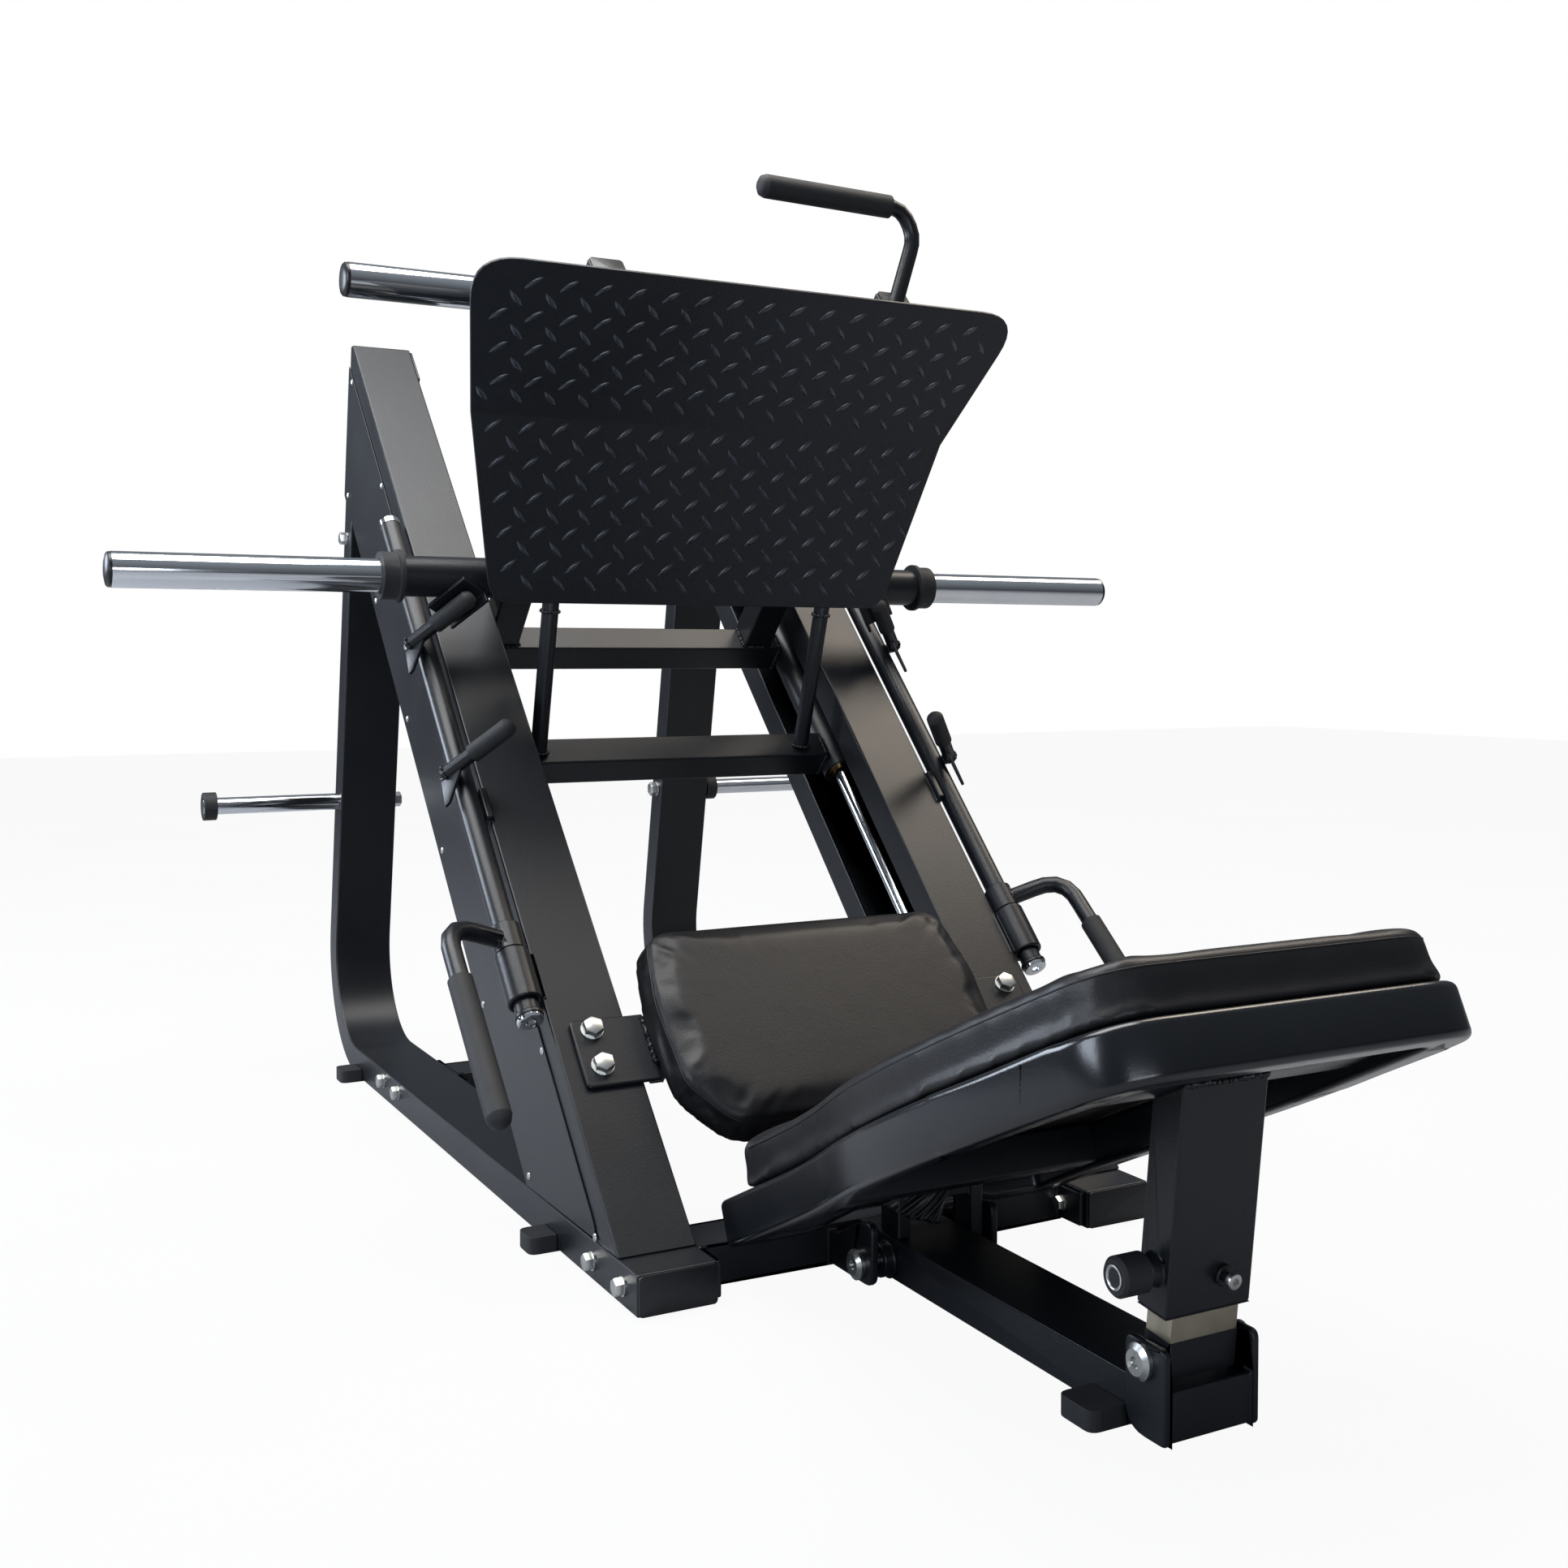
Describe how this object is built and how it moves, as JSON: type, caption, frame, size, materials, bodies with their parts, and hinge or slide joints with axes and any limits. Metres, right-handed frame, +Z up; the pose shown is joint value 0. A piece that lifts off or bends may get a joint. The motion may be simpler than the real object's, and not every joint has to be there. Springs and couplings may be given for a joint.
{
  "type": "leg press machine",
  "caption": "Plate-loaded 45 degree leg press: sliding footplate sled on inclined rails, tilting backrest, fixed seat and swing-out safety levers.",
  "frame": {"origin": "middle of the footprint, on the floor", "axes": "+X to the right of someone facing the footplate, +Y from the backrest end towards the tall rear posts, +Z up"},
  "size_m": [1.6674, 2.2366, 1.446],
  "materials": {
    "black_paint": "satin black powder coat",
    "rubber": "matt black rubber",
    "vinyl": "black upholstery vinyl",
    "chrome": "polished chrome plate",
    "zinc": "zinc plated",
    "bare_steel": "bare drawn steel",
    "bronze": "plain bearing bronze"
  },
  "bodies": {
    "frame": {"base_frame_left": "black_paint", "rail_left": "black_paint", "rail_cover_left": "black_paint", "guide_rod_left": "chrome", "foot_front_left": "rubber", "foot_rear_left": "rubber", "storage_pin_left": "chrome", "storage_ring_left": "rubber", "base_frame_right": "black_paint", "rail_right": "black_paint", "rail_cover_right": "black_paint", "guide_rod_right": "chrome", "foot_front_right": "rubber", "foot_rear_right": "rubber", "storage_pin_right": "chrome", "storage_ring_right": "rubber", "front_cross_member": "black_paint", "rear_cross_member": "black_paint", "back_beam": "black_paint", "foot_back_beam": "rubber", "head_bracket": "black_paint", "head_pivot_bolt": "zinc", "front_pivot_bolt": "zinc", "hinge_stand": "black_paint", "seat_carrier": "black_paint", "seat_pad": "vinyl"},
    "sled": {"sled_lower_crossbar": "black_paint", "sled_upper_crossbar": "black_paint", "horn_cross_tube": "black_paint", "upper_horn": "chrome", "footplate": "black_paint", "push_handle": "black_paint", "push_grip": "rubber", "bearing_tube_left": "black_paint", "bearing_sleeve_left": "bronze", "sled_post_left": "black_paint", "sled_strut_left": "black_paint", "horn_collar_left": "rubber", "horn_catch_left": "black_paint", "main_horn_left": "chrome", "bearing_tube_right": "black_paint", "bearing_sleeve_right": "bronze", "sled_post_right": "black_paint", "sled_strut_right": "black_paint", "horn_collar_right": "rubber", "horn_catch_right": "black_paint", "main_horn_right": "chrome"},
    "lever_left": {"lever_left": "black_paint", "lever_grip_left": "rubber", "lower_peg_sleeve_left": "rubber", "upper_peg_sleeve_left": "rubber"},
    "lever_right": {"lever_right": "black_paint", "lever_grip_right": "rubber", "lower_peg_sleeve_right": "rubber", "upper_peg_sleeve_right": "rubber"},
    "backrest": {"back_frame": "black_paint", "back_pad": "vinyl", "stay_sleeve": "black_paint"},
    "stay": {"stay_post": "bare_steel"},
    "knob": {"pull_knob": "rubber"}
  },
  "joints": [
    {"name": "sled_slide", "type": "slide", "parent": "frame", "child": "sled", "axis": [0, 0.7071, 0.7071], "range_m": [0, 0.3]},
    {"name": "lever_left_swing", "type": "hinge", "parent": "frame", "child": "lever_left", "pos_m": [-0.3895, -0.06923, 0.33775], "axis": [0, -0.7071, -0.7071], "range_deg": [0, 90]},
    {"name": "lever_right_swing", "type": "hinge", "parent": "frame", "child": "lever_right", "pos_m": [0.3895, -0.06923, 0.33775], "axis": [0, 0.7071, 0.7071], "range_deg": [0, 90]},
    {"name": "backrest_tilt", "type": "hinge", "parent": "frame", "child": "backrest", "pos_m": [0, -0.43429, 0.114], "axis": [-1, 0, 0], "range_deg": [0, 5]},
    {"name": "stay_swing", "type": "hinge", "parent": "frame", "child": "stay", "pos_m": [0, -0.93829, 0.078], "axis": [-1, 0, 0], "range_deg": [0, 5]},
    {"name": "knob_pull", "type": "slide", "parent": "backrest", "child": "knob", "axis": [-1, 0, 0], "range_m": [0, 0.01], "stiffness_N_per_m": 600, "springref_m": -0.006}
  ],
  "couplings": [
    {"joint": "stay_swing", "follows": "backrest_tilt", "ratio": 1}
  ]
}
